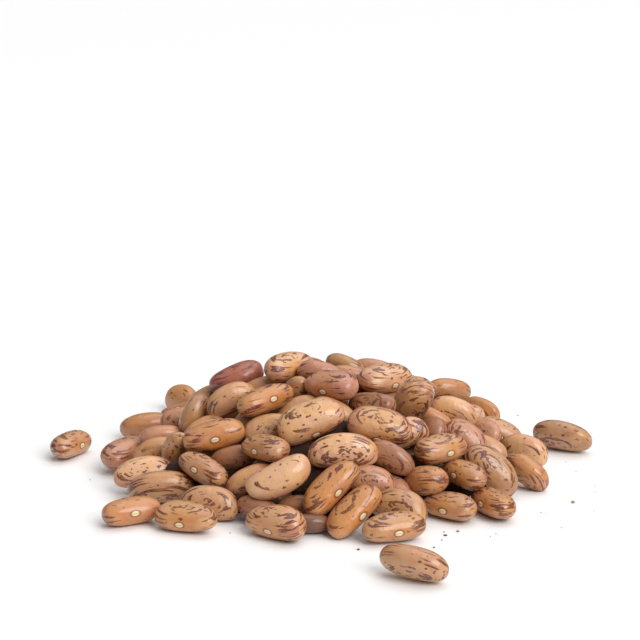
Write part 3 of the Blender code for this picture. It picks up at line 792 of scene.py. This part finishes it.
def skin_specks(skin, spot, patch, amount):
    """1 in the specks: where the distance to a cell's middle is under the cell's own size.

    The size grows with the cell's luck, the bean's amount of specks and the patch it lies in.
    """
    values = {"Vector": spot, "Scale": SPECK_WANDER_CLOSE, "Detail": 2.0}
    wander = skin.add("ShaderNodeTexNoise", {}, values, output=1)
    settings = {"operation": "MULTIPLY_ADD"}
    loose = skin.add("ShaderNodeVectorMath", settings, {0: wander, 1: SPECK_WANDER, 2: spot})
    cells = {"Vector": skin.stretched(loose, *SPECK_STRETCH), "Scale": SPECK_CLOSE}
    distance = skin.add("ShaderNodeTexVoronoi", {}, cells)
    luck = skin.split(skin.add("ShaderNodeTexVoronoi", {}, cells, output=1))[0]
    size = luck - SPECK_LUCK + SPECK_AMOUNT * amount + SPECK_PATCHY * (patch - 0.5)
    size = skin.maths("MINIMUM", SPECK_SIZE * size, SPECK_LARGEST)
    return skin.ramp(distance - size, *SPECK_EDGE)


def skin_arcs(skin, place, run, amount, ends):
    """1 in the arcs: where the noise along the rim, and what is added to it, passes an edge.

    More is added in some patches, at the ends and with the amount of arcs. None is by the hilum.
    """
    crest = skin.noise(run, 1.0, detail=1.0, rough=ARC_ROUGH, twist=ARC_TWIST)
    patch = skin.noise(run, ARC_PATCH_CLOSE, detail=0.0)
    from_hilum = skin.length(skin.stretched(place, *ARC_CLEAR_STRETCH))
    more = ARC_PATCHY * (patch - 0.5) + ARC_AMOUNT * amount - ARC_FEWER + ARC_AT_ENDS * ends
    more = skin.maths("MINIMUM", more, ARC_MOST)
    return skin.ramp(crest + more, *ARC_EDGE) * skin.ramp(from_hilum, *ARC_CLEAR_OF_HILUM)


def skin_finish(name, **constants):
    """Dried bean skin: the ground, the darker of specks and arcs on it, and a ring by the hilum."""
    skin = Finish(name, **constants)
    place, spot, run = skin.read("skin_place"), skin.read("skin_spot"), skin.read("skin_run")
    specks, arcs, gloss = skin.split(skin.read("skin_marks"))
    cloud = skin.noise(spot, CLOUD_CLOSE)
    patch = skin.noise(spot, PATCH_CLOSE, detail=1.0)
    grain = skin.noise(spot, GRAIN_CLOSE, detail=GRAIN_DETAIL, rough=GRAIN_ROUGH)
    ends = skin.ramp(abs(skin.split(place)[0]), *END_FROM_HILUM)

    speck = skin_specks(skin, spot, patch, specks)
    line = skin_arcs(skin, place, run, arcs, ends)
    mark = skin.mixed(skin.ramp(cloud, *MARK_CLOUDS), MARK_PURPLE, MARK_BROWN)
    faded = MARK_FAINTEST + (1 - MARK_FAINTEST) * skin.ramp(grain, *MARK_GRAIN)
    ground = skin_ground(skin, place, cloud, patch, grain, arcs, ends)
    colour = skin.mixed(skin.maths("MAXIMUM", speck, line) * faded, ground, mark)
    oval = skin.length(skin.stretched(place, 1 / HILUM_HALF_LENGTH, 1.0, 1 / HILUM_HALF_BREADTH))
    colour = skin.mixed(skin.ramp(oval, *RING_FADE) * RING_SHARE, colour, RING)
    skin.put(skin.surface.inputs["Base Color"], colour)
    roughness = DULL_ROUGHNESS - SHINE * gloss + GRAIN_DULLS * grain
    skin.put(skin.surface.inputs["Roughness"], roughness)
    skin.put(skin.surface.inputs["Coat Weight"], COAT * gloss)
    lumps = skin.noise(spot, LUMP_CLOSE) + GRAIN_HEIGHT * grain
    skin.bumped(lumps, BUMP_STRENGTH, BUMP_DEPTH)
    return skin.material


def laid_beans(name, ball, centres, axes, lengths, shapes, rows, rng, material, shade=1.0):
    """The beans of one piece, with their pattern and ground tones, and what their hilums need."""
    points, quads, tris = ball
    count = len(centres)
    lumps = rng.uniform(0, 2 * np.pi, (count, 2))
    skins = bean_skin(points, lengths, shapes, lumps)
    middle = np.zeros((count, 1))
    hilums = np.zeros((count, 3))
    hilums[:, 1] = hilum_height(middle, middle, lengths, shapes, lumps)[:, 0]
    tones, marks = looks_of(rows, count, rng)
    per_point = pattern_places(skins, hilums, lengths, shapes, rng)
    # A shade under 1 darkens the ground tones: painted shade for beans that little light reaches.
    per_point |= {"skin_tone": shade * tones[:, None], "skin_marks": marks[:, None]}
    places = np.einsum("npk,nkc->npc", skins, axes) + centres[:, None]
    places[..., 2] = np.maximum(places[..., 2], 0.0)
    piece = joined(name, places, quads, tris, per_point)
    piece.data.materials.append(material)
    return piece, lumps


random = np.random.default_rng(LAY_SEED)
seen_centres, seen_turns, seen_halves, seen_rays = lay_seen(SEEN_BEANS, on_heap=True)
stray_centres, stray_turns, stray_halves, _ = lay_seen(STRAY_BEANS.values(), on_heap=False)
hidden_centres, hidden_turns, hidden_halves = lay_hidden(seen_centres, stray_centres, random)
all_turns = np.concatenate([seen_turns, hidden_turns])
all_halves = np.concatenate([seen_halves, hidden_halves])
all_centres = np.concatenate([seen_centres, hidden_centres])
all_ranks = np.concatenate([rank_of(SEEN_BEANS), np.zeros(len(hidden_centres))])
all_centres = ease_apart(all_centres, all_turns, all_halves, seen_rays, all_ranks)
all_shapes = bean_shapes(all_halves, random)
seen_now = all_centres[:len(SEEN_BEANS)]
covered = np.array([
    is_covered(*bean, seen_now) for bean in zip(all_centres, all_turns, all_halves)
])
stays = has_room(all_centres, all_turns, all_halves, all_ranks) & (covered | (all_ranks > 0))
all_centres, all_turns = all_centres[stays], all_turns[stays]
all_halves, all_shapes = all_halves[stays], all_shapes[stays]

looks_random = np.random.default_rng(LOOKS_SEED)
all_lengths = 2 * all_halves[:, 0]
outer_skin = skin_finish("bean_skin", Coat_Roughness=COAT_ROUGHNESS, IOR=SKIN_IOR)
heap_beans, heap_lumps = laid_beans(
    "heap_beans", ball_grid(BEAN_AROUND, BEAN_RINGS), all_centres, all_turns, all_lengths,
    all_shapes, SEEN_BEANS, looks_random, outer_skin,
)
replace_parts(heap_beans, "bean_heap")


# The hilums: the pale oval scars where the beans grew on the pod, corky and a little proud of the
# skin, with a slit along the middle. Each is a lens whose lower half is sunk in the bean.
HILUM_PROUD = 0.12 * MM
HILUM_ROOT = 0.35 * MM
HILUM_SLIT = 0.13
HILUM_SLIT_DEPTH = 0.09 * MM
HILUM_PALE = paint(240, 216, 172)
HILUM_BROWN = paint(140, 100, 62)
HILUM_ROUGHNESS = 0.6
HILUM_GRAIN_CLOSE = 3.0
HILUM_GRAIN_SHARE = 0.3
HILUM_SLIT_SHARE = 0.35
HILUM_SLIT_FADE = (0.3, 0.08)
HILUM_EDGE_SHARE = 0.6
HILUM_EDGE_FADE = (0.45, 0.1)
SCAR_AROUND = 16
SCAR_RINGS = 10
SCAR, SCAR_QUADS, SCAR_TRIS = ball_grid(SCAR_AROUND, SCAR_RINGS)


def hilum_finish():
    """Pale corky scar, brown in its slit and at its edge."""
    scar = Finish("hilum", Roughness=HILUM_ROUGHNESS)
    place = scar.read("scar_place")
    _, out, up = scar.split(place)
    slit = scar.ramp(abs(out), *HILUM_SLIT_FADE)
    edge = scar.ramp(up, *HILUM_EDGE_FADE)
    grain = scar.noise(place, HILUM_GRAIN_CLOSE)
    pale = scar.mixed(grain * HILUM_GRAIN_SHARE, HILUM_PALE, HILUM_BROWN)
    shade = scar.maths("MAXIMUM", slit * HILUM_SLIT_SHARE, edge * HILUM_EDGE_SHARE)
    scar.put(scar.surface.inputs["Base Color"], scar.mixed(shade, pale, HILUM_BROWN))
    return scar.material


hilum_material = hilum_finish()


def laid_hilums(name, centres, axes, lengths, shapes, lumps):
    """One lens on each bean's hilum side: the side's height, and on it half a ball's, less a slit.

    The slit's depth falls off by the bell curve of the way out from the lens's middle.
    """
    run = np.broadcast_to(SCAR[:, 0] * HILUM_HALF_LENGTH * MM, (len(centres), len(SCAR)))
    out = np.broadcast_to(SCAR[:, 1] * HILUM_HALF_BREADTH * MM, run.shape)
    slit = HILUM_SLIT_DEPTH * np.exp(-((SCAR[:, 1] / HILUM_SLIT) ** 2)) * np.clip(SCAR[:, 2], 0, 1)
    lift = np.where(SCAR[:, 2] > 0, HILUM_PROUD, HILUM_ROOT) * SCAR[:, 2] - slit
    up = hilum_height(run, out, lengths, shapes, lumps) + lift
    skins = np.stack([run, up, out], -1)
    places = np.einsum("npk,nkc->npc", skins, axes) + centres[:, None]
    places[..., 2] = np.maximum(places[..., 2], 0.0)
    piece = joined(name, places, SCAR_QUADS, SCAR_TRIS, {"scar_place": SCAR[None]})
    piece.data.materials.append(hilum_material)
    return piece


laid_hilums("heap_hilums", all_centres, all_turns, all_lengths, all_shapes, heap_lumps)


# The beans under the outer ones, which show dark in the gaps. They are the same dried beans, on a
# lower dome of their own, and they give way to the outer ones. Their tones are darkened to about a
# quarter, which is painted shade for the little light that reaches them. Little of them shows, so
# they have fewer facets, and their skins shine less.
INNER_AROUND = 16
INNER_RINGS = 14
INNER_TRIES = 300
INNER_REACH = 0.9
INNER_DEPTH = 7.5 * MM
INNER_SPACING = 6.8 * MM
INNER_ROOF = 5.0 * MM
INNER_SMALLER = 0.9
# How far the inner beans' tones are darkened: painted shade.
INNER_PAINTED_SHADE = 0.26
INNER_SPECULAR = 0.1
INNER_ROUNDS = 60
INNER_SEED = 23


def lay_inner(rng):
    """Beans on a lower dome, on a spiral of golden-angle steps, each kept if it has room."""
    centres, axes, halves = [], [], []
    for k in range(INNER_TRIES):
        reach = INNER_REACH * np.sqrt((k + 0.5) / INNER_TRIES)
        x = HEAP_HALF_WIDTH * reach * np.cos(k * GOLDEN_TURN)
        y = HEAP_HALF_DEPTH * reach * np.sin(k * GOLDEN_TURN)
        heading, roll = rng.uniform(0, 2 * np.pi, 2)
        length = rng.normal(BEAN_LENGTH, BEAN_LENGTH_SPREAD) * INNER_SMALLER
        outward = dome_normal(x, y)
        side = np.cross(outward, [np.cos(heading), np.sin(heading), 0.0])
        own_axes = turned(side / np.linalg.norm(side), outward, roll)
        own_halves = length / 2 * np.array([1, BEAN_WIDTH, BEAN_THICKNESS])
        height = max(dome(x, y) - INNER_DEPTH, half_height(own_axes, own_halves))
        centre = np.array([x, y, height])
        others = np.array(centres).reshape(-1, 3)
        if (np.linalg.norm(others - centre, axis=1) > INNER_SPACING).all():
            centres.append(centre)
            axes.append(own_axes)
            halves.append(own_halves)
    return np.array(centres), np.array(axes), np.array(halves)


def ease_inner(centres, axes, halves, outer):
    """Push the inner beans out of the outer ones, which are listed first and stay where they are.

    It gives the places of the inner ones, and which of them end up with room under the outer ones.
    """
    points = ball_points(EASE_POINTS)
    rise = half_height(axes, halves)
    moving = np.arange(len(centres)) >= outer
    centres = centres.copy()
    for _ in range(INNER_ROUNDS):
        i, j, depth, way = dips(centres, axes, halves, points)
        step = EASE_SHARE * depth[:, None] * way
        push = np.zeros_like(centres)
        np.add.at(push, i, step)
        np.add.at(push, j, -step)
        centres[moving] += push[moving]
        roof = np.maximum(dome(centres[:, 0], centres[:, 1]) - INNER_ROOF, rise)
        centres[moving, 2] = np.clip(centres[:, 2], rise, roof)[moving]
    under = dome(centres[:, 0], centres[:, 1]) - INNER_ROOF > rise
    return centres[moving], (under & has_room(centres, axes, halves, ~moving))[moving]


inner_random = np.random.default_rng(INNER_SEED)
inner_centres, inner_turns, inner_halves = lay_inner(inner_random)
inner_centres, fits = ease_inner(
    np.concatenate([all_centres, inner_centres]), np.concatenate([all_turns, inner_turns]),
    np.concatenate([all_halves, inner_halves]), len(all_centres),
)
inner_centres, inner_turns = inner_centres[fits], inner_turns[fits]
inner_halves = inner_halves[fits]
inner_shapes = bean_shapes(inner_halves, inner_random)
inner_skin = skin_finish("inner_skin", Specular_IOR_Level=INNER_SPECULAR)
inner_beans, _ = laid_beans(
    "inner_beans", ball_grid(INNER_AROUND, INNER_RINGS), inner_centres, inner_turns,
    2 * inner_halves[:, 0], inner_shapes, [], inner_random, inner_skin, INNER_PAINTED_SHADE,
)
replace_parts(inner_beans, "bean_heap")


# The middle of the heap stands for more beans, but its near-black colour is painted shade, as only
# dark bits show deep in the gaps. It is made as one closed lumpy body with a flat underside, close
# over the surface.
MIDDLE_DEPTH = 10.0 * MM
MIDDLE_REACH = 0.84
MIDDLE_AROUND = 64
MIDDLE_RINGS = 24
MIDDLE_LUMP = 0.6 * MM
MIDDLE_LUMP_X = 1.7 * MM
MIDDLE_LUMP_Y = 1.9 * MM
MIDDLE_THINNEST = 1.0 * MM
MIDDLE_UNDERSIDE = 0.2 * MM
MIDDLE_EQUATOR = 0.01
MIDDLE_ROUGHNESS = 0.9
MIDDLE_CLOSE = 160.0
# Painted shade: the near-black browns of the middle, darker than any bean's own skin.
MIDDLE_PAINTED_SHADE = paint(24, 15, 10)
MIDDLE_PAINTED_SHADE_BROWN = paint(38, 24, 16)
MIDDLE_BUMP_STRENGTH = 0.6
MIDDLE_BUMP_DEPTH = 1.0 * MM


def middle_finish():
    """Painted shade for the deep gaps: near-black browns for skins that hardly any light reaches.
    """
    deep = Finish("painted_shade_deep_beans", Roughness=MIDDLE_ROUGHNESS, Specular_IOR_Level=0.0)
    cloud = deep.noise(deep.own_place(), MIDDLE_CLOSE)
    shade = deep.mixed(cloud, MIDDLE_PAINTED_SHADE, MIDDLE_PAINTED_SHADE_BROWN)
    deep.put(deep.surface.inputs["Base Color"], shade)
    deep.bumped(cloud, MIDDLE_BUMP_STRENGTH, MIDDLE_BUMP_DEPTH)
    return deep.material


def middle_of_heap():
    """A closed low dome: a flattened ball whose upper half follows the heap's dome from within.

    Its lumps are a wave across the heap times a wave into it.
    """
    ball, quads, tris = ball_grid(MIDDLE_AROUND, MIDDLE_RINGS)
    spread = MIDDLE_REACH * np.hypot(ball[:, 0], ball[:, 1])
    turn = np.arctan2(ball[:, 1], ball[:, 0])
    x = HEAP_HALF_WIDTH * spread * np.cos(turn)
    y = HEAP_HALF_DEPTH * spread * np.sin(turn)
    lumps = MIDDLE_LUMP * np.cos(x / MIDDLE_LUMP_X) * np.cos(y / MIDDLE_LUMP_Y)
    upper = np.maximum(dome(x, y) - MIDDLE_DEPTH, MIDDLE_THINNEST) + lumps
    height = np.where(ball[:, 2] > MIDDLE_EQUATOR, upper, MIDDLE_UNDERSIDE)
    piece = joined("heap_middle", np.stack([x, y, height], -1)[None], quads, tris, {})
    piece.data.materials.append(middle_finish())
    return piece


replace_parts(middle_of_heap(), "bean_heap")


# The three beans that rolled off the heap: dried beans like the others, each lying by itself on
# the surface. They are seen whole, so they have more facets, and each has its hilum.
STRAY_AROUND = 48
STRAY_RINGS = 40
stray_shapes = bean_shapes(stray_halves, random)
for k, (node, row) in enumerate(STRAY_BEANS.items()):
    one = slice(k, k + 1)
    own = (stray_centres[one], stray_turns[one], 2 * stray_halves[one, 0], stray_shapes[one])
    side = node.split("_")[-1]
    stray, stray_lumps = laid_beans(
        f"{side}_bean", ball_grid(STRAY_AROUND, STRAY_RINGS), *own, [row], looks_random, outer_skin,
    )
    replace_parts(stray, node)
    laid_hilums(f"{side}_hilum", *own, stray_lumps)


# Crumbs: chips of skin and bean that broke off, about a millimetre across or less, loose on the
# surface beside the heap. Each is a small ball, knocked out of shape and flattened.
# In turn: place in the picture (pixels), width (millimetres), and whether it is dark skin.
CRUMBS = [
    (573, 503, 1.1, False), (458, 532, 0.9, False), (445.5, 536, 0.9, True),
    (442, 540.5, 0.7, False), (444, 532.5, 0.5, True), (434, 548, 0.7, True),
    (358.5, 550, 0.9, True), (490.5, 536.5, 0.4, True), (496, 534, 0.4, True),
    (561.5, 528, 0.4, False), (576, 472, 0.4, True), (566, 462, 0.35, True),
    (595, 486, 0.35, False), (595, 492, 0.3, True), (594, 511, 0.4, False),
    (541, 513, 0.35, True), (546, 514, 0.35, True), (90, 480, 0.4, True),
    (230, 533.5, 0.4, True), (518, 416, 0.6, False),
]
CHIP_AROUND = 7
CHIP_RINGS = 5
CHIP_KNOCKS = (0.6, 1.1)
CHIP_LEAST = (0.7, 0.6, 0.35)
CHIP_MOST = (1.2, 1.0, 0.6)
CRUMB_SEED = 3
CRUMB_PALE = paint(190, 150, 96)
CRUMB_DARK = paint(110, 74, 52)
CRUMB_ROUGHNESS = 0.7
CRUMB_CLOSE = 2200.0
CRUMB_SHARE = 0.5
CRUMB_BUMP_STRENGTH = 0.5
CRUMB_BUMP_DEPTH = 0.1 * MM


def crumb_finish():
    """Broken bean: tan flesh or dark skin, dull and rough."""
    crumb = Finish("crumb", Roughness=CRUMB_ROUGHNESS)
    cloud = crumb.noise(crumb.own_place(), CRUMB_CLOSE)
    colour = crumb.mixed(cloud * CRUMB_SHARE, crumb.read("crumb_tone"), CRUMB_DARK)
    crumb.put(crumb.surface.inputs["Base Color"], colour)
    crumb.bumped(cloud, CRUMB_BUMP_STRENGTH, CRUMB_BUMP_DEPTH)
    return crumb.material


crumb_random = np.random.default_rng(CRUMB_SEED)
chip, chip_quads, chip_tris = ball_grid(CHIP_AROUND, CHIP_RINGS)
sizes = np.array([row[2] for row in CRUMBS])[:, None, None] * MM
knocked = chip * crumb_random.uniform(*CHIP_KNOCKS, (len(CRUMBS), len(chip), 1))
knocked = knocked * sizes / 2 * crumb_random.uniform(CHIP_LEAST, CHIP_MOST, (len(CRUMBS), 1, 3))
knocked[..., 2] -= knocked[..., 2].min(axis=1, keepdims=True)
crumb_rays = np.array([line_of_sight(px, py) for px, py, _, _ in CRUMBS])
on_floor = EYE - crumb_rays * (EYE[2] / crumb_rays[:, 2])[:, None]
crumb_tones = np.array([CRUMB_DARK if dark else CRUMB_PALE for _, _, _, dark in CRUMBS])
crumb_tones = {"crumb_tone": crumb_tones[:, None]}
crumbs = joined("crumbs", knocked + on_floor[:, None], chip_quads, chip_tris, crumb_tones)
crumbs.data.materials.append(crumb_finish())


# The plain white surface that the beans lie on: one flat sheet, wide enough that its edge stays
# out of every view. It is the ground, not part of the object.
FLOOR_HALF = 12.0
FLOOR_WHITE = paint(246, 246, 246)
FLOOR_GREY = paint(242, 242, 243)
FLOOR_GREY_SHARE = 0.1
FLOOR_CLOSE = 8.0
FLOOR_ROUGHNESS = 0.6
floor_mesh = bpy.data.meshes.new("floor")
corners = FLOOR_HALF * np.array([(-1, -1, 0), (1, -1, 0), (1, 1, 0), (-1, 1, 0)])
floor_mesh.from_pydata(corners, [], [(0, 1, 2, 3)])
floor = bpy.data.objects.new("floor", floor_mesh)
bpy.context.scene.collection.objects.link(floor)
sheet = Finish("white_surface", Roughness=FLOOR_ROUGHNESS)
cloud = sheet.noise(sheet.own_place(), FLOOR_CLOSE)
white = sheet.mixed(cloud * FLOOR_GREY_SHARE, FLOOR_WHITE, FLOOR_GREY)
sheet.put(sheet.surface.inputs["Base Color"], white)
floor_mesh.materials.append(sheet.material)


# Two wide soft lamps, one high on the right and one lower at the front right, and light from all
# round that is strongest above. In turn: where each lamp stands, its strength and its width.
LAMPS = {
    "high_lamp": ((0.3, 0.3, 0.9), 1.0, np.radians(60)),
    "front_lamp": ((0.5, -0.62, 0.62), 2.35, np.radians(40)),
}
SKY_LOW = 0.05
SKY_HIGH = 0.62
for name, (stands, strength, width) in LAMPS.items():
    lamp = bpy.data.lights.new(name, "SUN")
    lamp.energy = strength
    lamp.angle = width
    holder = bpy.data.objects.new(name, lamp)
    away = np.hypot(stands[0], stands[1])
    holder.rotation_euler = (np.arctan2(away, stands[2]), 0, np.arctan2(stands[0], -stands[1]))
    bpy.context.scene.collection.objects.link(holder)

world = bpy.data.worlds.new("studio")
world.use_nodes = True
sky = world.node_tree.nodes
links = world.node_tree.links
height = sky.new("ShaderNodeSeparateXYZ")
links.new(sky.new("ShaderNodeTexCoord").outputs["Generated"], height.inputs[0])
glow = sky.new("ShaderNodeMapRange")
glow.inputs["To Min"].default_value = SKY_LOW
glow.inputs["To Max"].default_value = SKY_HIGH
links.new(height.outputs["Z"], glow.inputs["Value"])
links.new(glow.outputs["Result"], sky["Background"].inputs["Strength"])
sky["Background"].inputs["Color"].default_value = (1.0, 1.0, 1.0, 1.0)
bpy.context.scene.world = world
bpy.context.scene.view_settings.view_transform = "Standard"
